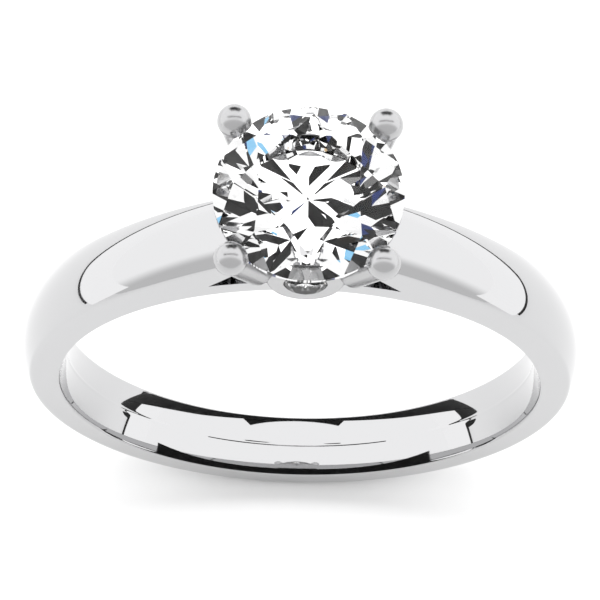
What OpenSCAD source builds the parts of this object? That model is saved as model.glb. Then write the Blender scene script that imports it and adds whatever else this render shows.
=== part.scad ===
// Four-prong cathedral solitaire ring with two small bezel-set stones under the head.
// Millimetres. The origin is the centre of the finger hole, +Y is the finger's axis and
// +Z points up to the large stone.

/* [Finger] */
// Inside diameter at the crest of the comfort-fit bore
finger_d = 16.9; // [15.0:0.1:19.0]
// Length along the finger of the plain round crest of the bore
crest_len = 0.5; // [0.3:0.1:0.8]
// How much the radius of the bore opens between its crest and its edges
comfort_rise = 0.14; // [0.06:0.02:0.2]

/* [Shank] */
// Thickness of the shank at the crown of its dome
shank_t = 1.55; // [1.3:0.05:1.9]
// Width of the shank along the finger, halfway up and at the bore
shank_w = 2.8; // [2.5:0.05:3.2]
// How much wider the shank is at the head than halfway up
head_widening = 0.5; // [0.3:0.05:0.8]
// Radius of the dome across the shank
dome_r = 2.25; // [2.1:0.05:3.0]
// How far each flank leans in for each millimetre outwards
flank_lean = 0.15; // [0.1:0.01:0.2]

/* [Shoulders] */
// Angle from the top at which the shoulders leave the round of the shank
shoulder_angle = 49; // [44:1:54]
// Radius of the flatter arc that each shoulder follows up to the head
shoulder_arc_r = 15.8; // [14:0.1:18]
// Thickness of the bridge that closes the shank under the head
bridge_t = 0.7; // [0.5:0.05:0.9]
// Distance from the middle at which the opening under each shoulder ends in a point
window_tip_x = 3.35; // [3.1:0.05:3.7]
// Thickness of each shoulder where it meets the gallery wires
shoulder_tip_t = 0.95; // [0.8:0.05:1.1]

/* [Centre stone] */
// Diameter of the large round brilliant
stone_d = 6.6; // [6.0:0.1:7.0]
// Height of its point above the crest of the finger hole
point_h = 1.54; // [1.4:0.02:1.9]

/* [Prongs] */
// Diameter of the prong wires
prong_d = 1.1; // [0.9:0.05:1.2]
// Diameter of the rounded prong tips
prong_tip_d = 1.2; // [1.1:0.05:1.4]
// How much the very end of each tip is flattened
prong_flat = 0.004; // [0.002:0.001:0.01]
// Distance from the girdle out to the middle of each tip
prong_outset = 0.4; // [0.3:0.05:0.5]
// Height of the middle of each tip above the girdle
prong_rise = 0.22; // [0.15:0.01:0.35]
// Distance from the middle of the head to the foot of each prong
prong_foot_r = 2.4; // [2.3:0.05:2.6]
// Height of the foot of each prong above the middle of the gallery wires
prong_foot_h = 0.4; // [0.2:0.05:0.5]

/* [Gallery] */
// Diameter of the gallery wires
gallery_wire_d = 0.7; // [0.6:0.05:0.8]
// Radius of the round that the gallery wires follow
gallery_r = 2.1; // [2.0:0.05:2.2]

/* [Collars] */
// Outside diameter of each collar
collar_d = 2.76; // [2.5:0.02:2.9]
// Distance from the middle of the ring to the lip of each collar
collar_lip_y = 2.05; // [1.95:0.01:2.15]
// Depth of each collar along the finger
collar_depth = 0.6; // [0.5:0.05:0.65]
// Height of the collars' axis above the finger hole's crest
collar_h = 1.53; // [1.45:0.01:1.6]
// Radius of the round on the outer edge of each lip
lip_round = 0.28; // [0.1:0.02:0.3]
// Diameter of the small round brilliants
accent_d = 1.62; // [1.5:0.02:1.8]
// Width of metal that laps over the edge of each small stone
bezel_lap = 0.06; // [0.04:0.01:0.12]
// Distance from the lip back to the small stone's girdle
accent_inset = 0.12; // [0.1:0.02:0.3]

/* [Brilliant cut] */
// Table width as a share of the stone's diameter
table_share = 0.57; // [0.53:0.01:0.6]
// Slope of the crown's main facets
crown_angle = 34.5; // [33:0.5:36]
// Slope of the pavilion's main facets
pavilion_angle = 40.8; // [40:0.1:41.5]
// Thickness of the girdle as a share of the stone's diameter
girdle_share = 0.035; // [0.02:0.005:0.04]
// How far the star facets reach from the table towards the girdle
star_share = 0.55; // [0.45:0.05:0.6]
// How far the lower halves reach from the girdle towards the point
lower_share = 0.77; // [0.7:0.01:0.8]

/* [Hidden] */
$fn = 64;
metal = "gainsboro";
gem = "aliceblue";

crest_r = finger_d / 2;
edge_r = crest_r + comfort_rise;
crown_r = crest_r + shank_t;
// The flanks are two cones on one axis above the finger's, so the shank widens upwards
flank_axis_z = head_widening / 2 / flank_lean;
flank_apex_y = shank_w / 2 + flank_lean * edge_r;
bore_half = shank_w;
// The swept blanks are thicker and wider than the shank, which is then cut out of them
blank_spare = 1;
blank_t = shank_t + blank_spare;
blank_w = shank_w + head_widening + 0.2;
bridge_blank_w = blank_w + 0.4;
// Degrees that the bridge laps into the shoulders, and short of the top where their arcs end
bridge_lap = 5;
arc_stop = 20;

arc_back = shoulder_arc_r - crown_r;
arc_x = -arc_back * sin(shoulder_angle);
arc_z = -arc_back * cos(shoulder_angle);
bridge_r = crest_r + bridge_t;

stone_r = stone_d / 2;
girdle_z = crest_r + point_h + girdle_share * stone_r + stone_r * tan(pavilion_angle);
// A brilliant's facets repeat eight times round it
folds = 8;
fold = 360 / folds;
half_fold = fold / 2;

tip_r = stone_r + prong_outset;
tip_z = girdle_z + prong_rise;
foot_z = crest_r + collar_h + prong_foot_h;
prong_lean = atan2(tip_r - prong_foot_r, tip_z - foot_z);
prong_len = norm([tip_r - prong_foot_r, tip_z - foot_z]);

collar_r = collar_d / 2;
collar_z = crest_r + collar_h;
accent_r = accent_d / 2;
accent_y = collar_lip_y - accent_inset;
light_hole_r = accent_r / 2;
gallery_z = collar_z;
gallery_wire_r = gallery_wire_d / 2;
gap_x = gallery_r;

// ---- Shared shapes ----

// Turns a shape made round the Z axis on to the finger's axis
module on_finger_axis() {
    rotate([90, 0, 0]) children();
}

// Turns a shape made facing up to face the front (side = -1) or the back (side = 1)
module facing(side) {
    rotate([-side * 90, 0, 0]) children();
}

// Half space below a plane through three points, seen anticlockwise from outside
module below_plane(a, b, c, size) {
    n = cross(b - a, c - a) / norm(cross(b - a, c - a));
    rotate([0, acos(n[2]), atan2(n[1], n[0])])
        translate([-size, -size, n * a - 2 * size]) cube(2 * size);
}

function polar(r, a, z) = [r * cos(a), r * sin(a), z];

// Round brilliant with its point down and the middle of its girdle at the origin
module brilliant(d) {
    r = d / 2;
    half_girdle = girdle_share * d / 2;
    table_r = table_share * r;
    table_z = half_girdle + (r - table_r) * tan(crown_angle);
    flat_r = table_r * cos(half_fold);
    star_r = flat_r + star_share * (r - flat_r);
    star_z = table_z - (star_r * cos(half_fold) - table_r) * tan(crown_angle);
    depth_z = -half_girdle - r * tan(pavilion_angle);
    lower_r = r * (1 - lower_share);
    lower_z = depth_z + lower_r * cos(half_fold) * tan(pavilion_angle);
    intersection() {
        translate([0, 0, depth_z]) cylinder(r = r, h = table_z - depth_z);
        intersection_for(k = [0 : folds - 1]) {
            a = fold * k;
            star = polar(star_r, a + half_fold, star_z);
            low = polar(lower_r, a + half_fold, lower_z);
            main = polar(r, a, half_girdle);
            main_low = polar(r, a, -half_girdle);
            point = [0, 0, depth_z];
            intersection() {
                below_plane(polar(table_r, a, table_z), polar(star_r, a - half_fold, star_z), star, d);
                below_plane(polar(table_r, a, table_z), star, polar(table_r, a + fold, table_z), d);
                below_plane(star, main, polar(r, a + half_fold, half_girdle), d);
                below_plane(star, polar(r, a + half_fold, half_girdle), polar(r, a + fold, half_girdle), d);
                below_plane(point, low, polar(lower_r, a - half_fold, lower_z), d);
                below_plane(low, polar(r, a + half_fold, -half_girdle), main_low, d);
                below_plane(low, polar(r, a + fold, -half_girdle), polar(r, a + half_fold, -half_girdle), d);
            }
        }
    }
}

// ---- Shank ----

// Cross-section of the shank before its flanks are cut, with the crown of its dome at the
// distance r from the axis of turning
module dome_section(r) {
    intersection() {
        translate([r - dome_r, 0]) circle(dome_r);
        translate([r - blank_t, -blank_w / 2]) square([2 * blank_t, blank_w]);
    }
}

// Turns a section round the finger's axis, from one angle to another, both counted from +X to +Z
module sweep(from, to) {
    on_finger_axis() rotate([0, 0, from]) rotate_extrude(angle = to - from) children();
}

// The round part of the shank, which ends where the shoulders leave it
module band() {
    sweep(90 + shoulder_angle, 450 - shoulder_angle) dome_section(crown_r);
}

// One shoulder, from the end of the band up to the head (side = -1 is left)
module shoulder(side) {
    translate([side * arc_x, 0, arc_z])
        if (side < 0)
            sweep(90 + arc_stop, 90 + shoulder_angle) dome_section(shoulder_arc_r);
        else
            sweep(90 - shoulder_angle, 90 - arc_stop) dome_section(shoulder_arc_r);
}

// The thin stretch that closes the shank under the head
module bridge() {
    inner_r = crown_r - blank_t - blank_spare;
    sweep(90 - shoulder_angle - bridge_lap, 90 + shoulder_angle + bridge_lap)
        translate([inner_r, -bridge_blank_w / 2]) square([bridge_r - inner_r, bridge_blank_w]);
}

// Finger hole: a plain round crest that opens gently to both edges
module finger_hole() {
    on_finger_axis() rotate_extrude()
        polygon([[0, -bore_half], [edge_r + comfort_rise, -bore_half], [crest_r, -crest_len / 2],
                 [crest_r, crest_len / 2], [edge_r + comfort_rise, bore_half], [0, bore_half]]);
}

// Space for the head between the shoulders, and the opening under each of them
module head_space() {
    tip_under_z = arc_z + sqrt(pow(shoulder_arc_r, 2) - pow(gap_x - arc_x, 2)) - shoulder_tip_t;
    window_z = sqrt(pow(bridge_r, 2) - pow(window_tip_x, 2));
    on_finger_axis() translate([0, 0, -shank_w]) linear_extrude(2 * shank_w)
        difference() {
            polygon([[-gap_x, 2 * crown_r], [-gap_x, tip_under_z], [-window_tip_x, window_z],
                     [0, 0], [window_tip_x, window_z], [gap_x, tip_under_z], [gap_x, 2 * crown_r]]);
            circle(bridge_r);
        }
}

// Flanks of the shank: two cones on one axis above the finger's, so that it widens upwards
module flanks() {
    translate([0, 0, flank_axis_z]) on_finger_axis() rotate_extrude()
        polygon([[0, -flank_apex_y], [flank_apex_y / flank_lean, 0], [0, flank_apex_y]]);
}

// The shank with its hole and the room for the head, before the head is fitted to it
module open_shank() {
    difference() {
        intersection() {
            union() {
                band();
                bridge();
                shoulder(-1);
                shoulder(1);
            }
            flanks();
        }
        finger_hole();
        head_space();
    }
}

module shank() {
    color(metal) difference() {
        open_shank();
        gallery_round();
        collar_seat(-1);
        collar_seat(1);
    }
}

// ---- Gallery wires ----

module gallery_round() {
    translate([0, 0, gallery_z]) rotate_extrude()
        translate([gallery_r, 0]) circle(gallery_wire_r);
}

// Half of the round on one side (side = -1 is left), cut to fit between the two collars
module gallery_wire(side) {
    reach = gallery_r + gallery_wire_d;
    color(metal) difference() {
        gallery_round();
        translate([side > 0 ? -reach : 0, -reach, gallery_z - gallery_wire_d])
            cube([reach, 2 * reach, 2 * gallery_wire_d]);
        translate([0, 0, collar_z]) on_finger_axis()
            translate([0, 0, -reach]) cylinder(r = collar_r, h = 2 * reach);
    }
}

module gallery_wire_left() gallery_wire(-1);
module gallery_wire_right() gallery_wire(1);

// ---- Collars and their stones ----

module collar_blank(side) {
    translate([0, side * (collar_lip_y - collar_depth), collar_z]) facing(side)
        rotate_extrude() {
            square([collar_r, collar_depth - lip_round]);
            square([collar_r - lip_round, collar_depth]);
            translate([collar_r - lip_round, collar_depth - lip_round]) circle(lip_round);
        }
}

// Round pocket that a collar sits in, wherever it meets the shank or a prong
module collar_seat(side) {
    translate([0, side * (collar_lip_y - collar_depth), collar_z]) facing(side)
        cylinder(r = collar_r, h = collar_depth);
}

// Round single cut, as small stones have it, with its point down and its girdle at the origin
module single_cut(d) {
    r = d / 2;
    half_girdle = girdle_share * d / 2;
    table_r = table_share * r;
    table_z = half_girdle + (r - table_r) * tan(crown_angle);
    depth_z = -half_girdle - r * tan(pavilion_angle);
    intersection() {
        translate([0, 0, depth_z]) cylinder(r = r, h = table_z - depth_z);
        intersection_for(k = [0 : folds - 1]) rotate([0, 0, fold * k]) intersection() {
            below_plane([r, -r, half_girdle], [r, r, half_girdle], [table_r, 0, table_z], d);
            below_plane([r, r, -half_girdle], [r, -r, -half_girdle], [0, 0, depth_z], d);
        }
    }
}

module accent_stone(side) {
    translate([0, side * accent_y, collar_z]) facing(side) single_cut(accent_d);
}

module collar(side) {
    color(metal) difference() {
        collar_blank(side);
        accent_stone(side);
        translate([0, side * accent_y, collar_z]) facing(side)
            cylinder(r = accent_r - bezel_lap, h = collar_depth);
        translate([0, 0, collar_z]) facing(side) cylinder(r = light_hole_r, h = collar_lip_y);
    }
}

module collar_front() collar(-1);
module collar_back() collar(1);
module accent_stone_front() color(gem) accent_stone(-1);
module accent_stone_back() color(gem) accent_stone(1);

// ---- Centre stone and its prongs ----

module centre_stone() {
    color(gem) translate([0, 0, girdle_z]) rotate([0, 0, half_fold]) brilliant(stone_d);
}

// One prong wire at an angle round the head, notched for the stone and fitted to its neighbours
module prong(angle) {
    color(metal) difference() {
        rotate([0, 0, angle]) translate([prong_foot_r, 0, foot_z]) rotate([0, prong_lean, 0]) {
            sphere(prong_d / 2);
            cylinder(d = prong_d, h = prong_len);
            translate([0, 0, prong_len]) intersection() {
                sphere(prong_tip_d / 2);
                cylinder(d = 2 * prong_tip_d, h = prong_tip_d - 2 * prong_flat, center = true);
            }
        }
        centre_stone();
        shank();
        gallery_round();
        collar_seat(sin(angle) < 0 ? -1 : 1);
    }
}

module prong_front_left() prong(225);
module prong_front_right() prong(315);
module prong_back_left() prong(135);
module prong_back_right() prong(45);

shank();
gallery_wire_left();
gallery_wire_right();
prong_front_left();
prong_front_right();
prong_back_left();
prong_back_right();
collar_front();
collar_back();
centre_stone();
accent_stone_front();
accent_stone_back();
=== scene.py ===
import math

import bmesh
import bpy
from mathutils import Matrix, Vector


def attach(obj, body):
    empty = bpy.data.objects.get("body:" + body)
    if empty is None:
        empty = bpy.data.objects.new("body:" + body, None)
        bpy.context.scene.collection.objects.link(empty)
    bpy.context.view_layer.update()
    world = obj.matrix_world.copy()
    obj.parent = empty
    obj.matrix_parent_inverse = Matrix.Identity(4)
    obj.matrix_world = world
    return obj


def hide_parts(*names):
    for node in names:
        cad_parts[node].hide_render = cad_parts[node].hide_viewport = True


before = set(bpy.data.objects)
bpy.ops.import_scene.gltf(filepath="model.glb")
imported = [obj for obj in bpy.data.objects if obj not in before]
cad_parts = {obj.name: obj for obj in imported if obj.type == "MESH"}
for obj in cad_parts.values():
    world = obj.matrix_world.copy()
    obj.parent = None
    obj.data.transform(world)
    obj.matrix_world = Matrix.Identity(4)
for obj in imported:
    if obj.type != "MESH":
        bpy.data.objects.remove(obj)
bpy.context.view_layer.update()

MM = 0.001


# ---- Shank ----
# The shank is cast in white gold, filed to a shallow dome with leaning flanks, bored for a
# comfort fit and mirror polished. Each shoulder leaves the round of the band on a flatter arc
# and is sawn open underneath, so that a thin bridge closes the ring below the head.

finger_r = 8.45 * MM
crown_r = 10.0 * MM
bridge_r = 9.15 * MM
shoulder_arc_r = 15.8 * MM
shoulder_angle = math.radians(49)
dome_r = 2.25 * MM
flank_lean = 0.15
flank_apex_y = 2.6885 * MM
flank_axis_z = 1.6667 * MM
bore_rise = 0.088 / MM
crest_ridge = 0.018 * MM
ridge_half = 0.07 * MM
gallery_r = 2.1 * MM
window_tip_x = 3.35 * MM
shoulder_tip_t = 0.95 * MM


def linear(hex_colour):
    """An sRGB hex colour as the linear RGBA that a shader socket takes."""
    parts = [int(hex_colour[i:i + 2], 16) / 255 for i in (1, 3, 5)]
    return [c / 12.92 if c <= 0.04045 else ((c + 0.055) / 1.055) ** 2.4 for c in parts] + [1.0]


def add_node(tree, kind, inputs=None, **settings):
    """Adds one node with its settings, and links or sets its inputs."""
    node = tree.nodes.new(kind)
    for name, value in settings.items():
        setattr(node, name, value)
    for key, value in (inputs or {}).items():
        if isinstance(value, bpy.types.NodeSocket):
            tree.links.new(value, node.inputs[key])
        else:
            node.inputs[key].default_value = value
    return node


# Rhodium-plated white gold, mirror polished: a cool, nearly neutral grey with crisp reflections,
# which the finest polishing marks soften here and there.
white_gold = bpy.data.materials.new("rhodium_plated_white_gold_mirror_polished")
white_gold.use_nodes = True
nodes = white_gold.node_tree
nodes.nodes.clear()
handling_patch = 2.5 * MM
place = add_node(nodes, "ShaderNodeTexCoord")
handling = add_node(nodes, "ShaderNodeTexNoise", {"Vector": place.outputs["Object"],
                                                  "Scale": 1 / handling_patch,
                                                  "Detail": 3.0})
gloss = add_node(nodes, "ShaderNodeMapRange", {"Value": handling.outputs["Fac"], "From Min": 0.3,
                                               "From Max": 0.7, "To Min": 0.015, "To Max": 0.045})
metal = add_node(nodes, "ShaderNodeBsdfPrincipled", {"Base Color": linear("#B7B7B8"), "Metallic": 1.0,
                                                     "Roughness": gloss.outputs["Result"]})
add_node(nodes, "ShaderNodeOutputMaterial", {"Surface": metal.outputs["BSDF"]})


# The prongs and collars were only brushed with a rubber wheel, so their reflections are blurred.
satin_gold = bpy.data.materials.new("rhodium_plated_white_gold_satin")
satin_gold.use_nodes = True
nodes = satin_gold.node_tree
nodes.nodes.clear()
satin = add_node(nodes, "ShaderNodeBsdfPrincipled", {"Base Color": linear("#AEAEAF"), "Metallic": 1.0,
                                                     "Roughness": 0.24})
add_node(nodes, "ShaderNodeOutputMaterial", {"Surface": satin.outputs["BSDF"]})


def mesh_object(name, points, faces=(), edges=()):
    """A new object whose mesh holds these points, in place."""
    mesh = bpy.data.meshes.new(name)
    mesh.from_pydata([tuple(p) for p in points], list(edges), list(faces))
    piece = bpy.data.objects.new(name, mesh)
    bpy.context.scene.collection.objects.link(piece)
    return piece


def node_tree(name, sizes):
    """A geometry tree with its geometry in and out and one named input for each size."""
    tree = bpy.data.node_groups.new(name, "GeometryNodeTree")
    tree.interface.new_socket("Geometry", in_out="INPUT", socket_type="NodeSocketGeometry")
    tree.interface.new_socket("Geometry", in_out="OUTPUT", socket_type="NodeSocketGeometry")
    for label, value in sizes.items():
        kind = {int: "NodeSocketInt", float: "NodeSocketFloat"}.get(type(value))
        kind = kind or ("NodeSocketMaterial" if isinstance(value, bpy.types.Material)
                        else "NodeSocketObject")
        tree.interface.new_socket(label, in_out="INPUT", socket_type=kind)
    return tree


def swept_skin(tree, template_mesh, stations):
    """A skin that carries the template round a circle. Each point keeps the place that it has in
    the template, and how far round it is."""
    section = add_node(tree, "GeometryNodeMeshToCurve", {"Mesh": template_mesh})
    drawn = add_node(tree, "GeometryNodeCaptureAttribute", {"Geometry": section.outputs["Curve"]})
    drawn.capture_items.new("VECTOR", "Template")
    tree.links.new(add_node(tree, "GeometryNodeInputPosition").outputs[0], drawn.inputs["Template"])
    rail = add_node(tree, "GeometryNodeCurvePrimitiveCircle", {"Resolution": stations})
    walked = add_node(tree, "GeometryNodeCaptureAttribute", {"Geometry": rail.outputs["Curve"]})
    walked.capture_items.new("FLOAT", "Walk")
    tree.links.new(add_node(tree, "GeometryNodeSplineParameter").outputs["Factor"], walked.inputs["Walk"])
    skin = add_node(tree, "GeometryNodeCurveToMesh", {"Curve": walked.outputs["Geometry"],
                                                      "Profile Curve": drawn.outputs["Geometry"]})
    return drawn, walked, skin


polished_crease = math.radians(35)


def grow(piece, tree, sizes):
    """Runs the tree on the piece with these sizes and keeps its result as a plain smooth mesh."""
    modifier = piece.modifiers.new(tree.name, "NODES")
    modifier.node_group = tree
    for item in tree.interface.items_tree:
        if item.in_out == "INPUT" and item.name in sizes:
            modifier[item.identifier] = sizes[item.name]
    shape = bpy.data.meshes.new_from_object(piece.evaluated_get(bpy.context.evaluated_depsgraph_get()))
    piece.modifiers.remove(modifier)
    piece.data = shape
    shape.name = piece.name
    shape.validate()
    shape.shade_smooth()
    shape.set_sharp_from_angle(angle=polished_crease)
    return piece


# The template of the section: across the finger from flank to flank (X), and from the crown of
# the dome down to the bore (Y). Close pairs of points keep the polished edges only just round.
dome_steps = [0.0, 0.13, 0.27, 0.41, 0.55, 0.68, 0.79, 0.87, 0.935, 1.0]
flank_steps = [0.1, 0.25, 0.4, 0.6, 0.78, 0.9]
bore_steps = [1.0, 0.93, 0.84, 0.74, 0.62, 0.5, 0.38, 0.27, 0.17, 0.09, 0.05, 0.0]
half = ([(s, 0.0) for s in dome_steps] + [(1.0, d) for d in flank_steps]
        + [(s, 1.0) for s in bore_steps])
template = [(s, d, 0.0) for s, d in half] + [(-s, d, 0.0) for s, d in reversed(half[1:-1])]
shank = mesh_object("shank_with_shoulders", template,
                    edges=[(i, (i + 1) % len(template)) for i in range(len(template))])

shoulder_turn = math.acos((shoulder_arc_r - crown_r) * math.sin(shoulder_angle) / shoulder_arc_r) \
    - (math.pi / 2 - shoulder_angle)
half_length = crown_r * (math.pi - shoulder_angle) + shoulder_arc_r * shoulder_turn

# The room for the head: between the ends of the shoulders, and under each of them down to the bridge.
head_reach, head_top = 3 * MM, 14 * MM
bridge_steps = 32
tip_top_z = math.sqrt(shoulder_arc_r ** 2 - (gallery_r + (shoulder_arc_r - crown_r)
                                             * math.sin(shoulder_angle)) ** 2) \
    - (shoulder_arc_r - crown_r) * math.cos(shoulder_angle)
bridge_arc = [math.asin(window_tip_x / bridge_r) * (1 - 2 * i / bridge_steps)
              for i in range(bridge_steps + 1)]
outline = [(-gallery_r, head_top), (-gallery_r, tip_top_z - shoulder_tip_t)]
outline += [(-bridge_r * math.sin(a), bridge_r * math.cos(a)) for a in bridge_arc]
outline += [(gallery_r, tip_top_z - shoulder_tip_t), (gallery_r, head_top)]
count = len(outline)
head_room = mesh_object(
    "head_room", [(x, y, z) for y in (-head_reach, head_reach) for x, z in outline],
    faces=[tuple(range(count)), tuple(reversed(range(count, 2 * count)))]
    + [(i, i + count, (i + 1) % count + count, (i + 1) % count) for i in range(count)])

shank_sizes = {"Stations": 320, "Half Length": half_length, "Crown Radius": crown_r,
               "Shoulder Arc": shoulder_arc_r, "Shoulder Start": math.pi - shoulder_angle,
               "Dome Radius": dome_r, "Flank Lean": flank_lean, "Flank Apex": flank_apex_y,
               "Flank Axis Height": flank_axis_z, "Finger Radius": finger_r,
               "Bore Rise": bore_rise, "Ridge Half Width": ridge_half, "Ridge Height": crest_ridge,
               "Head Room": head_room, "Metal": white_gold}
tree = node_tree("shank_swept_round_the_finger", shank_sizes)
given = add_node(tree, "NodeGroupInput").outputs
drawn, walked, skin = swept_skin(tree, given["Geometry"], given["Stations"])
# How far round from the bottom, to the right and to the left, then along band and shoulder arc
turn = add_node(tree, "ShaderNodeMath", {0: walked.outputs["Walk"], 1: 2.0, 2: -1.0},
                operation="MULTIPLY_ADD")
way = add_node(tree, "ShaderNodeMath", {0: turn.outputs[0], 1: given["Half Length"]},
               operation="MULTIPLY")
round_angle = add_node(tree, "ShaderNodeMath", {0: way.outputs[0], 1: given["Crown Radius"]},
                       operation="DIVIDE")
start_back = add_node(tree, "ShaderNodeMath", {0: given["Shoulder Start"], 1: -1.0},
                      operation="MULTIPLY")
band_angle = add_node(tree, "ShaderNodeClamp", {"Value": round_angle.outputs[0],
                                                "Min": start_back.outputs[0],
                                                "Max": given["Shoulder Start"]})
band_way = add_node(tree, "ShaderNodeMath", {0: band_angle.outputs[0], 1: given["Crown Radius"]},
                    operation="MULTIPLY")
left_over = add_node(tree, "ShaderNodeMath", {0: way.outputs[0], 1: band_way.outputs[0]},
                     operation="SUBTRACT")
arc_angle = add_node(tree, "ShaderNodeMath", {0: left_over.outputs[0], 1: given["Shoulder Arc"]},
                     operation="DIVIDE")
facing_angle = add_node(tree, "ShaderNodeMath", {0: band_angle.outputs[0], 1: arc_angle.outputs[0]})
spokes = []
for angle in (band_angle, facing_angle):
    across = add_node(tree, "ShaderNodeMath", {0: angle.outputs[0]}, operation="SINE")
    along = add_node(tree, "ShaderNodeMath", {0: angle.outputs[0]}, operation="COSINE")
    down = add_node(tree, "ShaderNodeMath", {0: along.outputs[0], 1: -1.0}, operation="MULTIPLY")
    spokes.append(add_node(tree, "ShaderNodeCombineXYZ", {"X": across.outputs[0], "Z": down.outputs[0]}))
arc_back = add_node(tree, "ShaderNodeMath", {0: given["Crown Radius"], 1: given["Shoulder Arc"]},
                    operation="SUBTRACT")
centre = add_node(tree, "ShaderNodeVectorMath", {0: spokes[0].outputs[0], "Scale": arc_back.outputs[0]},
                  operation="SCALE")
reach = add_node(tree, "ShaderNodeVectorMath", {0: spokes[1].outputs[0], "Scale": given["Shoulder Arc"]},
                 operation="SCALE")
crown = add_node(tree, "ShaderNodeVectorMath", {0: centre.outputs[0], 1: reach.outputs[0]})
# The width there follows from the flanks' lean, which is measured from an axis above the finger's
parts = add_node(tree, "ShaderNodeSeparateXYZ", {0: drawn.outputs["Template"]})
inward = add_node(tree, "ShaderNodeVectorMath", {0: crown.outputs[0]}, operation="NORMALIZE")
bore_line = add_node(tree, "ShaderNodeVectorMath", {0: inward.outputs[0], "Scale": given["Finger Radius"]},
                     operation="SCALE")
middle = add_node(tree, "ShaderNodeMix", {"Factor": parts.outputs["Y"], 4: crown.outputs[0],
                                          5: bore_line.outputs[0]}, data_type="VECTOR")
axis_point = add_node(tree, "ShaderNodeCombineXYZ", {"Z": given["Flank Axis Height"]})
from_axis = add_node(tree, "ShaderNodeVectorMath", {0: middle.outputs[1], 1: axis_point.outputs[0]},
                     operation="DISTANCE")
lean_in = add_node(tree, "ShaderNodeMath", {0: from_axis.outputs["Value"], 1: given["Flank Lean"]},
                   operation="MULTIPLY")
half_width = add_node(tree, "ShaderNodeMath", {0: given["Flank Apex"], 1: lean_in.outputs[0]},
                      operation="SUBTRACT")
side = add_node(tree, "ShaderNodeMath", {0: parts.outputs["X"], 1: half_width.outputs[0]},
                operation="MULTIPLY")
# The dome falls away from its crown by a round of its own
side_out = add_node(tree, "ShaderNodeMath", {0: side.outputs[0]}, operation="ABSOLUTE")
side_even = add_node(tree, "ShaderNodeMath", {0: side_out.outputs[0], 1: 2.0}, operation="POWER")
dome_square = add_node(tree, "ShaderNodeMath", {0: given["Dome Radius"], 1: 2.0}, operation="POWER")
left_square = add_node(tree, "ShaderNodeMath", {0: dome_square.outputs[0], 1: side_even.outputs[0]},
                       operation="SUBTRACT")
left_root = add_node(tree, "ShaderNodeMath", {0: left_square.outputs[0]}, operation="SQRT")
fall = add_node(tree, "ShaderNodeMath", {0: left_root.outputs[0], 1: given["Dome Radius"]},
                operation="SUBTRACT")
fallen = add_node(tree, "ShaderNodeVectorMath", {0: spokes[1].outputs[0], "Scale": fall.outputs[0]},
                  operation="SCALE")
outer = add_node(tree, "ShaderNodeVectorMath", {0: crown.outputs[0], 1: fallen.outputs[0]})
# The bore opens on a gentle curve from its crest, where a fine ridge was left, to its edges
opening = add_node(tree, "ShaderNodeMath", {0: side_even.outputs[0], 1: given["Bore Rise"],
                                            2: given["Finger Radius"]}, operation="MULTIPLY_ADD")
ridge = add_node(tree, "ShaderNodeMapRange", {"Value": side_out.outputs[0], "From Min": 0.0,
                                              "From Max": given["Ridge Half Width"],
                                              "To Min": given["Ridge Height"], "To Max": 0.0},
                 interpolation_type="SMOOTHSTEP")
bore_r = add_node(tree, "ShaderNodeMath", {0: opening.outputs[0], 1: ridge.outputs[0]},
                  operation="SUBTRACT")
inner = add_node(tree, "ShaderNodeVectorMath", {0: inward.outputs[0], "Scale": bore_r.outputs[0]},
                 operation="SCALE")
flat = add_node(tree, "ShaderNodeMix", {"Factor": parts.outputs["Y"], 4: outer.outputs[0],
                                        5: inner.outputs[0]}, data_type="VECTOR")
shift = add_node(tree, "ShaderNodeCombineXYZ", {"Y": side.outputs[0]})
spot = add_node(tree, "ShaderNodeVectorMath", {0: flat.outputs[1], 1: shift.outputs[0]})
formed = add_node(tree, "GeometryNodeSetPosition", {"Geometry": skin.outputs["Mesh"],
                                                    "Position": spot.outputs[0]})
polished = add_node(tree, "GeometryNodeSubdivisionSurface", {"Mesh": formed.outputs["Geometry"],
                                                             "Level": 1})
room = add_node(tree, "GeometryNodeObjectInfo", {"Object": given["Head Room"]})
sawn = add_node(tree, "GeometryNodeMeshBoolean", {"Mesh 1": polished.outputs["Mesh"],
                                                  "Mesh 2": room.outputs["Geometry"]},
                operation="DIFFERENCE", solver="MANIFOLD")
plain = add_node(tree, "GeometryNodeRealizeInstances", {"Geometry": sawn.outputs["Mesh"]})
dressed = add_node(tree, "GeometryNodeSetMaterial", {"Geometry": plain.outputs["Geometry"],
                                                     "Material": given["Metal"]})
add_node(tree, "NodeGroupOutput", {"Geometry": dressed.outputs["Geometry"]})
grow(shank, tree, shank_sizes)
bpy.data.objects.remove(head_room)
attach(shank, "root")
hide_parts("shank")


# ---- Gallery wires ----
# Two round wires, drawn and bent, follow the underside of the stone from collar to collar.
# They are soldered to the ends of the shoulders and carry the prongs.

collar_z = 9.98 * MM
gallery_wire_r = 0.35 * MM
wire_reach = math.radians(47)
wire_sizes = {"Round Radius": gallery_r, "Wire Radius": gallery_wire_r, "Height": collar_z,
              "Half Sweep": wire_reach, "Steps": 40, "Metal": white_gold}
tree = node_tree("gallery_round", wire_sizes)
given = add_node(tree, "NodeGroupInput").outputs
sweep = add_node(tree, "ShaderNodeMath", {0: given["Half Sweep"], 1: 2.0}, operation="MULTIPLY")
start = add_node(tree, "ShaderNodeMath", {0: given["Half Sweep"], 1: -1.0}, operation="MULTIPLY")
path = add_node(tree, "GeometryNodeCurveArc", {"Resolution": given["Steps"],
                                               "Radius": given["Round Radius"],
                                               "Start Angle": start.outputs[0],
                                               "Sweep Angle": sweep.outputs[0]}, mode="RADIUS")
wire_section = add_node(tree, "GeometryNodeCurvePrimitiveCircle", {"Resolution": 24,
                                                                   "Radius": given["Wire Radius"]})
wire = add_node(tree, "GeometryNodeCurveToMesh", {"Curve": path.outputs["Curve"],
                                                  "Profile Curve": wire_section.outputs["Curve"],
                                                  "Fill Caps": True})
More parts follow.
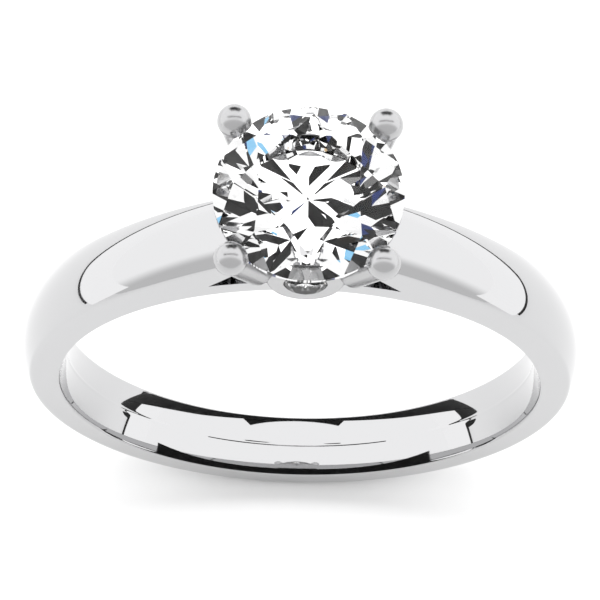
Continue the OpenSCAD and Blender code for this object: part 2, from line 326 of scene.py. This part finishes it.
lift = add_node(tree, "ShaderNodeCombineXYZ", {"Z": given["Height"]})
places = add_node(tree, "GeometryNodeMeshLine", {"Count": 2, "Start Location": lift.outputs[0],
                                                 "Offset": (0.0, 0.0, 0.0)})
number = add_node(tree, "GeometryNodeInputIndex")
half_turn = add_node(tree, "ShaderNodeMath", {0: number.outputs[0], 1: math.pi}, operation="MULTIPLY")
spin = add_node(tree, "ShaderNodeCombineXYZ", {"Z": half_turn.outputs[0]})
pair = add_node(tree, "GeometryNodeInstanceOnPoints", {"Points": places.outputs["Mesh"],
                                                       "Instance": wire.outputs["Mesh"],
                                                       "Rotation": spin.outputs[0]})
plain = add_node(tree, "GeometryNodeRealizeInstances", {"Geometry": pair.outputs["Instances"]})
dressed = add_node(tree, "GeometryNodeSetMaterial", {"Geometry": plain.outputs["Geometry"],
                                                     "Material": given["Metal"]})
add_node(tree, "NodeGroupOutput", {"Geometry": dressed.outputs["Geometry"]})
gallery = grow(mesh_object("gallery_wires", []), tree, wire_sizes)
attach(gallery, "root")
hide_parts("gallery_wire_left", "gallery_wire_right")


# ---- Collars ----
# A turned collar holds each small stone under the head, one facing the front and one the back.
# Its thin inner lip is rubbed over the edge of the stone, and a hole behind lets in light.

collar_r = 1.38 * MM
collar_lip_y = 2.05 * MM
collar_back_y = 1.45 * MM
lip_round = 0.28 * MM
accent_r = 0.81 * MM
accent_y = 1.93 * MM
lip_r = accent_r - 0.06 * MM
back_bevel = 0.03 * MM
accent_half_girdle = 0.02 * MM
accent_base_slope = math.tan(math.radians(40.8))
light_hole_r = accent_r / 2
lip_steps = 8
collar_section = [(light_hole_r, collar_back_y), (collar_r - back_bevel, collar_back_y),
                  (collar_r, collar_back_y + back_bevel), (collar_r, collar_lip_y - lip_round)]
collar_section += [(collar_r - lip_round * (1 - math.cos(a)), collar_lip_y - lip_round * (1 - math.sin(a)))
                   for a in (math.pi / 2 * i / lip_steps for i in range(1, lip_steps + 1))]
# The rubbed lip: its flat, its rounded inner edge, and the seat that it closes over the stone
collar_section += [(lip_r + 0.08 * MM, collar_lip_y), (lip_r + 0.02 * MM, collar_lip_y - 0.01 * MM),
                   (lip_r, collar_lip_y - 0.03 * MM), (lip_r, accent_y + 0.065 * MM),
                   (accent_r, accent_y + accent_half_girdle), (accent_r, accent_y - accent_half_girdle),
                   (light_hole_r, accent_y - accent_half_girdle
                    - (accent_r - light_hole_r) * accent_base_slope)]
lathe_sizes = {"Steps": 96, "Height": collar_z, "Metal": satin_gold}
tree = node_tree("collar_turned_on_a_lathe", lathe_sizes)
given = add_node(tree, "NodeGroupInput").outputs
drawn, walked, skin = swept_skin(tree, given["Geometry"], given["Steps"])
parts = add_node(tree, "ShaderNodeSeparateXYZ", {0: drawn.outputs["Template"]})
angle = add_node(tree, "ShaderNodeMath", {0: walked.outputs["Walk"], 1: 2 * math.pi},
                 operation="MULTIPLY")
across = add_node(tree, "ShaderNodeMath", {0: angle.outputs[0]}, operation="COSINE")
along = add_node(tree, "ShaderNodeMath", {0: angle.outputs[0]}, operation="SINE")
out_x = add_node(tree, "ShaderNodeMath", {0: across.outputs[0], 1: parts.outputs["X"]},
                 operation="MULTIPLY")
out_z = add_node(tree, "ShaderNodeMath", {0: along.outputs[0], 1: parts.outputs["X"]},
                 operation="MULTIPLY")
spot = add_node(tree, "ShaderNodeCombineXYZ", {"X": out_x.outputs[0], "Y": parts.outputs["Y"],
                                               "Z": out_z.outputs[0]})
formed = add_node(tree, "GeometryNodeSetPosition", {"Geometry": skin.outputs["Mesh"],
                                                    "Position": spot.outputs[0]})
lift = add_node(tree, "ShaderNodeCombineXYZ", {"Z": given["Height"]})
places = add_node(tree, "GeometryNodeMeshLine", {"Count": 2, "Start Location": lift.outputs[0],
                                                 "Offset": (0.0, 0.0, 0.0)})
number = add_node(tree, "GeometryNodeInputIndex")
half_turn = add_node(tree, "ShaderNodeMath", {0: number.outputs[0], 1: math.pi}, operation="MULTIPLY")
spin = add_node(tree, "ShaderNodeCombineXYZ", {"Z": half_turn.outputs[0]})
pair = add_node(tree, "GeometryNodeInstanceOnPoints", {"Points": places.outputs["Mesh"],
                                                       "Instance": formed.outputs["Geometry"],
                                                       "Rotation": spin.outputs[0]})
plain = add_node(tree, "GeometryNodeRealizeInstances", {"Geometry": pair.outputs["Instances"]})
dressed = add_node(tree, "GeometryNodeSetMaterial", {"Geometry": plain.outputs["Geometry"],
                                                     "Material": given["Metal"]})
add_node(tree, "NodeGroupOutput", {"Geometry": dressed.outputs["Geometry"]})
collars = mesh_object("collars", [(x, y, 0.0) for x, y in collar_section],
                      edges=[(i, (i + 1) % len(collar_section)) for i in range(len(collar_section))])
grow(collars, tree, lathe_sizes)
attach(collars, "root")
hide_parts("collar_front", "collar_back")


# ---- Small stones ----
# Each collar holds one small round brilliant with 57 facets, its table facing out.

# Colourless diamond or simulant, cut and polished: every facet is an optical flat. The glare off
# its surface is held down, as a polarising filter does, so that its dark facets stay dark.
colourless = bpy.data.materials.new("colourless_stone_optical_polish")
colourless.use_nodes = True
nodes = colourless.node_tree
nodes.nodes.clear()
gem = add_node(nodes, "ShaderNodeBsdfPrincipled", {"Base Color": linear("#FFFFFF"), "Roughness": 0.0,
                                                   "Specular Tint": linear("#3A3A3A"),
                                                   "IOR": 2.417, "Transmission Weight": 1.0})
add_node(nodes, "ShaderNodeOutputMaterial", {"Surface": gem.outputs["BSDF"]})


def polar(r, degrees, z):
    return Vector((r * math.cos(math.radians(degrees)), r * math.sin(math.radians(degrees)), z))


def brilliant(name, diameter):
    """A round brilliant, point down, with the middle of its girdle at the origin: a turned blank
    on which 57 flat facets are ground."""
    r = diameter / 2
    girdle = 0.0175 * diameter
    table_r = 0.57 * r
    crown_slope = math.tan(math.radians(34.5))
    base_slope = math.tan(math.radians(40.8))
    half_step = math.cos(math.radians(22.5))
    table_z = girdle + (r - table_r) * crown_slope
    star_r = table_r * half_step + 0.55 * (r - table_r * half_step)
    star_z = table_z - (star_r * half_step - table_r) * crown_slope
    point = Vector((0, 0, -girdle - r * base_slope))
    lower_r = 0.23 * r
    lower_z = point.z + lower_r * half_step * base_slope
    work = bmesh.new()
    bmesh.ops.create_cone(work, cap_ends=True, segments=192, radius1=r, radius2=r,
                          depth=table_z - point.z,
                          matrix=Matrix.Translation((0, 0, (table_z + point.z) / 2)))
    for k in range(8):
        a = 45 * k
        star, low = polar(star_r, a + 22.5, star_z), polar(lower_r, a + 22.5, lower_z)
        corner, corner_low = polar(r, a, girdle), polar(r, a, -girdle)
        cuts = [(polar(table_r, a, table_z), polar(star_r, a - 22.5, star_z), star),
                (polar(table_r, a, table_z), star, polar(table_r, a + 45, table_z)),
                (star, corner, polar(r, a + 22.5, girdle)),
                (star, polar(r, a + 22.5, girdle), polar(r, a + 45, girdle)),
                (point, low, polar(lower_r, a - 22.5, lower_z)),
                (low, polar(r, a + 22.5, -girdle), corner_low),
                (low, polar(r, a + 45, -girdle), polar(r, a + 22.5, -girdle))]
        for p, q, s in cuts:
            away = (q - p).cross(s - p).normalized()
            cut = bmesh.ops.bisect_plane(work, geom=work.verts[:] + work.edges[:] + work.faces[:],
                                         dist=1e-9, plane_co=p, plane_no=away, clear_outer=True)
            rim = [e for e in cut["geom_cut"] if isinstance(e, bmesh.types.BMEdge)]
            if rim:
                bmesh.ops.contextual_create(work, geom=rim)
    bmesh.ops.remove_doubles(work, verts=work.verts[:], dist=1e-7)
    bmesh.ops.dissolve_degenerate(work, edges=work.edges[:], dist=1e-7)
    bmesh.ops.recalc_face_normals(work, faces=work.faces[:])
    mesh = bpy.data.meshes.new(name)
    work.to_mesh(mesh)
    work.free()
    mesh.materials.append(colourless)
    stone = bpy.data.objects.new(name, mesh)
    bpy.context.scene.collection.objects.link(stone)
    return stone


for side, facing in ((-1, "front"), (1, "back")):
    accent = brilliant("small_stone_" + facing, 2 * accent_r)
    accent.data.transform(Matrix.Translation((0, side * accent_y, collar_z))
                          @ Matrix.Rotation(-side * math.pi / 2, 4, "X"))
    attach(accent, "root")
    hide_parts("accent_stone_" + facing)


# ---- Centre stone ----
# The large round brilliant sits in notches cut in the four prongs, with its point down.

girdle_z = 12.954 * MM
stone_d = 6.6 * MM
centre_stone = brilliant("centre_stone_round_brilliant", stone_d)
centre_stone.data.transform(Matrix.Translation((0, 0, girdle_z))
                            @ Matrix.Rotation(math.radians(22.5), 4, "Z"))
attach(centre_stone, "root")
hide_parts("centre_stone")


# ---- Prongs ----
# Four round wires stand on the gallery and lean out to the stone's edge. Each is notched for
# the girdle, and its end is worked into a round bead over the edge of the stone.

prong_r = 0.55 * MM
bead_r = 0.6 * MM
foot_r = 2.4 * MM
foot_z = collar_z + 0.4 * MM
tip_outset, tip_rise = 0.4 * MM, 0.22 * MM
notch_clearance = 1.003
tip_out = stone_d / 2 + tip_outset
tip_up = girdle_z + tip_rise - foot_z
prong_lean = math.atan2(tip_out - foot_r, tip_up)
prong_len = math.hypot(tip_out - foot_r, tip_up)
foot_steps, wire_steps, bead_steps = 10, 12, 20
prong_section = [(prong_r * math.sin(a), -prong_r * math.cos(a))
                 for a in (math.pi / 2 * i / foot_steps for i in range(foot_steps + 1))]
prong_section += [(prong_r, prong_len * k / wire_steps) for k in range(1, wire_steps)]
bead_start = math.degrees(math.asin(prong_r / bead_r))
prong_section += [(bead_r * math.sin(math.radians(a)), prong_len - bead_r * math.cos(math.radians(a)))
                  for a in (bead_start + (180 - bead_start) * k / bead_steps
                            for k in range(bead_steps + 1))]
prong_section[-1] = (0.0, prong_len + bead_r)
notch = centre_stone.copy()
notch.data = centre_stone.data.copy()
notch.parent = None
notch.matrix_world = Matrix.Identity(4)
bpy.context.scene.collection.objects.link(notch)
notch.data.transform(Matrix.Translation((0, 0, girdle_z)) @ Matrix.Scale(notch_clearance, 4)
                     @ Matrix.Translation((0, 0, -girdle_z)))
prong_sizes = {"Steps": 48, "Foot Radius": foot_r, "Foot Height": foot_z, "Lean": prong_lean,
               "Count": 4, "Stone": notch, "Metal": satin_gold}
tree = node_tree("prongs_round_the_head", prong_sizes)
given = add_node(tree, "NodeGroupInput").outputs
drawn, walked, skin = swept_skin(tree, given["Geometry"], given["Steps"])
parts = add_node(tree, "ShaderNodeSeparateXYZ", {0: drawn.outputs["Template"]})
angle = add_node(tree, "ShaderNodeMath", {0: walked.outputs["Walk"], 1: 2 * math.pi},
                 operation="MULTIPLY")
across = add_node(tree, "ShaderNodeMath", {0: angle.outputs[0]}, operation="COSINE")
along = add_node(tree, "ShaderNodeMath", {0: angle.outputs[0]}, operation="SINE")
out_x = add_node(tree, "ShaderNodeMath", {0: across.outputs[0], 1: parts.outputs["X"]},
                 operation="MULTIPLY")
out_y = add_node(tree, "ShaderNodeMath", {0: along.outputs[0], 1: parts.outputs["X"]},
                 operation="MULTIPLY")
spot = add_node(tree, "ShaderNodeCombineXYZ", {"X": out_x.outputs[0], "Y": out_y.outputs[0],
                                               "Z": parts.outputs["Y"]})
formed = add_node(tree, "GeometryNodeSetPosition", {"Geometry": skin.outputs["Mesh"],
                                                    "Position": spot.outputs[0]})
outward = add_node(tree, "GeometryNodeFlipFaces", {"Mesh": formed.outputs["Geometry"]})
closed = add_node(tree, "GeometryNodeMergeByDistance", {"Geometry": outward.outputs["Mesh"],
                                                        "Distance": 1e-7})
lift = add_node(tree, "ShaderNodeCombineXYZ", {"Z": given["Foot Height"]})
number = add_node(tree, "GeometryNodeInputIndex")
share = add_node(tree, "ShaderNodeMath", {0: number.outputs[0], 1: 0.5})
part_turn = add_node(tree, "ShaderNodeMath", {0: 2 * math.pi, 1: given["Count"]}, operation="DIVIDE")
compass = add_node(tree, "ShaderNodeMath", {0: share.outputs[0], 1: part_turn.outputs[0]},
                   operation="MULTIPLY")
foot_across = add_node(tree, "ShaderNodeMath", {0: compass.outputs[0]}, operation="COSINE")
foot_along = add_node(tree, "ShaderNodeMath", {0: compass.outputs[0]}, operation="SINE")
foot_way = add_node(tree, "ShaderNodeCombineXYZ", {"X": foot_across.outputs[0], "Y": foot_along.outputs[0]})
foot_flat = add_node(tree, "ShaderNodeVectorMath", {0: foot_way.outputs[0], "Scale": given["Foot Radius"]},
                     operation="SCALE")
foot = add_node(tree, "ShaderNodeVectorMath", {0: foot_flat.outputs[0], 1: lift.outputs[0]})
feet = add_node(tree, "GeometryNodeMeshLine", {"Count": given["Count"]})
set_feet = add_node(tree, "GeometryNodeSetPosition", {"Geometry": feet.outputs["Mesh"],
                                                      "Position": foot.outputs[0]})
tilt = add_node(tree, "ShaderNodeCombineXYZ", {"Y": given["Lean"], "Z": compass.outputs[0]})
four = add_node(tree, "GeometryNodeInstanceOnPoints", {"Points": set_feet.outputs["Geometry"],
                                                       "Instance": closed.outputs["Geometry"],
                                                       "Rotation": tilt.outputs[0]})
plain = add_node(tree, "GeometryNodeRealizeInstances", {"Geometry": four.outputs["Instances"]})
stone = add_node(tree, "GeometryNodeObjectInfo", {"Object": given["Stone"]})
notched = add_node(tree, "GeometryNodeMeshBoolean", {"Mesh 1": plain.outputs["Geometry"],
                                                     "Mesh 2": stone.outputs["Geometry"]},
                   operation="DIFFERENCE", solver="MANIFOLD")
dressed = add_node(tree, "GeometryNodeSetMaterial", {"Geometry": notched.outputs["Mesh"],
                                                     "Material": given["Metal"]})
add_node(tree, "NodeGroupOutput", {"Geometry": dressed.outputs["Geometry"]})
prongs = mesh_object("prongs", [(x, y, 0.0) for x, y in prong_section],
                     edges=[(i, i + 1) for i in range(len(prong_section) - 1)])
grow(prongs, tree, prong_sizes)
bpy.data.objects.remove(notch)
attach(prongs, "root")
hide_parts("prong_front_left", "prong_front_right", "prong_back_left", "prong_back_right")


# ---- Studio ----
# White paper floor in a white tent that is brighter behind the ring. Some cards are seen only
# in the metal, where they draw its dark edges, and some only through the stones, where they
# give the dark facets and the fire.

floor_z = -crown_r
corners = ((-1, -1), (1, -1), (1, 1), (-1, 1))
floor = mesh_object("floor", [(x, y, floor_z) for x, y in corners], faces=[(0, 1, 2, 3)])
paper = bpy.data.materials.new("white_paper_floor")
paper.use_nodes = True
nodes = paper.node_tree
nodes.nodes.clear()
sheet = add_node(nodes, "ShaderNodeBsdfPrincipled", {"Base Color": linear("#EDEDED"), "Roughness": 0.9})
add_node(nodes, "ShaderNodeOutputMaterial", {"Surface": sheet.outputs["BSDF"]})
floor.data.materials.append(paper)

world = bpy.data.worlds.new("white_light_tent")
bpy.context.scene.world = world
world.use_nodes = True
nodes = world.node_tree
nodes.nodes.clear()
front_glow, back_glow = 1.0, 1.75
way = add_node(nodes, "ShaderNodeTexCoord")
way_parts = add_node(nodes, "ShaderNodeSeparateXYZ", {0: way.outputs["Generated"]})
tent = add_node(nodes, "ShaderNodeMapRange", {"Value": way_parts.outputs["Y"], "From Min": -0.4,
                                              "From Max": -0.15, "To Min": front_glow, "To Max": back_glow},
                interpolation_type="SMOOTHSTEP")
air = add_node(nodes, "ShaderNodeBackground", {"Color": linear("#FFFFFF"),
                                               "Strength": tent.outputs["Result"]})
add_node(nodes, "ShaderNodeOutputWorld", {"Surface": air.outputs["Background"]})


def card_material(name, hex_colour, glow=0.0):
    """Matt card of one colour, which glows when it is a lit wall of the tent."""
    material = bpy.data.materials.new(name)
    material.use_nodes = True
    nodes = material.node_tree
    nodes.nodes.clear()
    base = linear("#050505" if glow else hex_colour)
    card = add_node(nodes, "ShaderNodeBsdfPrincipled", {"Base Color": base, "Roughness": 0.9,
                                                        "Emission Color": linear(hex_colour),
                                                        "Emission Strength": glow})
    add_node(nodes, "ShaderNodeOutputMaterial", {"Surface": card.outputs["BSDF"]})
    return material


black = card_material("black_flag_card", "#050505")
grey_flag = card_material("dark_grey_flag_card", "#2A2A2A")
white = card_material("lit_tent_wall", "#FFFFFF", back_glow)


def direction(azimuth, elevation):
    """A unit vector from the ring: azimuth 0 is behind it and 90 is to its right."""
    a, e = math.radians(azimuth), math.radians(elevation)
    return Vector((math.sin(a) * math.cos(e), math.cos(a) * math.cos(e), math.sin(e)))


def stage_card(card, material, seen_by_stones=True, seen_by_metal=True):
    card.data.materials.append(material)
    card.visible_camera = False
    card.visible_shadow = False
    card.visible_diffuse = False
    card.visible_transmission = seen_by_stones
    card.visible_glossy = seen_by_metal


# The distances of the cards: flags in the tent, the low rim of the tent, and the stones' cards
flag_far, rim_far, wall_far, slot_far, fire_far = 160 * MM, 84 * MM, 84.5 * MM, 150 * MM, 149 * MM
arch_far = 200 * MM


def bent_card(name, azimuths, elevations, distance, material, steps=24, **seen):
    """A card bent round the ring between these azimuths and elevations."""
    rows = [[direction(azimuths[0] + (azimuths[1] - azimuths[0]) * i / steps, e) * distance
             for e in elevations] for i in range(steps + 1)]
    card = mesh_object(name, [p for row in rows for p in row],
                       faces=[(2 * i, 2 * i + 1, 2 * i + 3, 2 * i + 2) for i in range(steps)])
    stage_card(card, material, **seen)


bent_card("flag_behind", (-24, 28), (12, 44), flag_far, black, seen_by_stones=False)
bent_card("flag_horizon", (-105, 105), (-6.0, -4.6), rim_far, grey_flag, steps=60, seen_by_stones=False)
bent_card("tent_wall", (-112, 112), (-4.6, 9), wall_far, white, steps=60, seen_by_stones=False)


def arch_card(name, y_shares, turns, distance, material, steps=48, **seen):
    """A card arched over the ring from side to side, between two slopes along the finger's axis."""
    rows = []
    for i in range(steps + 1):
        turn = math.radians(turns[0] + (turns[1] - turns[0]) * i / steps)
        rows += [Vector((math.sin(turn) * math.sqrt(1 - y * y), y, math.cos(turn) * math.sqrt(1 - y * y)))
                 * distance for y in y_shares]
    card = mesh_object(name, rows, faces=[(2 * i, 2 * i + 1, 2 * i + 3, 2 * i + 2) for i in range(steps)])
    stage_card(card, material, **seen)


arch_card("flag_overhead", (0.02, 0.14), (-44, 44), arch_far, black, seen_by_stones=False)

# Painted shade: two black strips stand in the finger hole, seen only in the metal's reflections, and darken
# the bore beside its two edges:
# their radius in millimetres, and how far and in what steps they reach round it in degrees
roll_r, roll_reach, roll_step = 6.5, 24, 2


def painted_bore_shade(name, edge, far_y):
    """Black strip rolled in the finger hole, from an edge that follows a curve out to far_y (mm); seen only
    in the metal's reflections, it paints shade on the bore.
    """
    rows = []
    for degrees in range(-roll_reach, roll_reach + roll_step, roll_step):
        turn = math.radians(degrees)
        rows += [Vector((roll_r * math.sin(turn), y, -roll_r * math.cos(turn))) * MM
                 for y in (edge(degrees), far_y)]
    card = mesh_object(name, rows, faces=[(2 * i, 2 * i + 1, 2 * i + 3, 2 * i + 2)
                                          for i in range(len(rows) // 2 - 1)])
    stage_card(card, black, seen_by_stones=False)


painted_bore_shade("paper_roll_front", lambda a: -0.76 + 0.5 * (abs(a) / roll_reach) ** 4, -3.0)
painted_bore_shade("paper_roll_back", lambda a: 3.1 - 0.4 * min(1, abs(a) / 14) if a < 0
           else 3.1 - 0.3 * min(1, a / 16), 6.0)

# What the stones look through to: dark slots of the room between the tent's panels, a blue
# window, a warm lamp
navy = card_material("navy_card", "#1B2A5C")
cyan = card_material("blue_window", "#8CCBF2", 1.0)
warm = card_material("warm_lamp", "#D9B98A", 0.9)
ground_half, ground_lift = 60 * MM, 0.1 * MM
ground = mesh_object("dark_ground", [(x * ground_half, y * ground_half, floor_z + ground_lift)
                                     for x, y in corners], faces=[(0, 1, 2, 3)])
stage_card(ground, black, seen_by_metal=False)
slot_count, slot_spacing, slot_width, first_slot = 14, 26, 10, -176
slot_heights = ((4, 46), (22, 78), (10, 62))
for number in range(slot_count):
    start = slot_spacing * number + first_slot
    bent_card("dark_slot_%d" % number, (start, start + slot_width), slot_heights[number % 3], slot_far,
              black, steps=6, seen_by_metal=False)
for number, (azimuths, elevations, material) in enumerate((
        ((-62, -55), (10, 60), navy), ((60, 67), (14, 66), navy), ((108, 113), (10, 60), cyan),
        ((-114, -110), (16, 66), cyan), ((4, 8), (30, 70), cyan), ((-5, 0), (10, 50), warm),
        ((168, 176), (40, 62), navy))):
    bent_card("stone_card_%d" % number, azimuths, elevations, fire_far, material, steps=6,
              seen_by_metal=False)

box_light = bpy.data.lights.new("overhead_softbox", "AREA")
box_light.shape = "RECTANGLE"
box_light.size = 160 * MM
box_light.size_y = 100 * MM
box_light.energy = 0.13
overhead = bpy.data.objects.new("overhead_softbox", box_light)
overhead.location = (0, 40 * MM, 180 * MM)
overhead.visible_glossy = False
overhead.visible_transmission = False
bpy.context.scene.collection.objects.link(overhead)


# ---- Camera ----
# The eye looks down on the ring from the front at 65 degrees, a long lens away.

azimuth, elevation, roll = math.radians(-1.515), math.radians(65.15), math.radians(2.953)
look_at, eye_far = Vector((-0.1079, 0, 4.325)) * MM, 252 * MM
toward = Vector((math.sin(azimuth) * math.cos(elevation), -math.cos(azimuth) * math.cos(elevation),
                 math.sin(elevation)))
right = (-toward).cross(Vector((0, 0, 1))).normalized()
up = right.cross(-toward)
right_rolled = right * math.cos(roll) + up * math.sin(roll)
up_rolled = up * math.cos(roll) - right * math.sin(roll)
lens = bpy.data.cameras.new("camera")
lens.lens = 427.3
lens.sensor_width = 36
lens.clip_start = 0.01
camera = bpy.data.objects.new("camera", lens)
turned = Matrix((right_rolled, up_rolled, toward)).transposed().to_4x4()
camera.matrix_world = Matrix.Translation(look_at + toward * eye_far) @ turned
bpy.context.scene.collection.objects.link(camera)
bpy.context.scene.camera = camera

# The camera's black lens hood, which a stone looks back at
hood_r, hood_back, hood_sides = 55 * MM, 230 * MM, 48
hood = mesh_object("lens_hood", [look_at + toward * hood_back
                                 + (right * math.cos(a) + up * math.sin(a)) * hood_r
                                 for a in (2 * math.pi * i / hood_sides for i in range(hood_sides))],
                   faces=[tuple(range(hood_sides))])
stage_card(hood, black, seen_by_metal=False)

scene = bpy.context.scene
scene.view_settings.view_transform = "Standard"
scene.cycles.max_bounces = 24
scene.cycles.transmission_bounces = 24
scene.cycles.glossy_bounces = 12
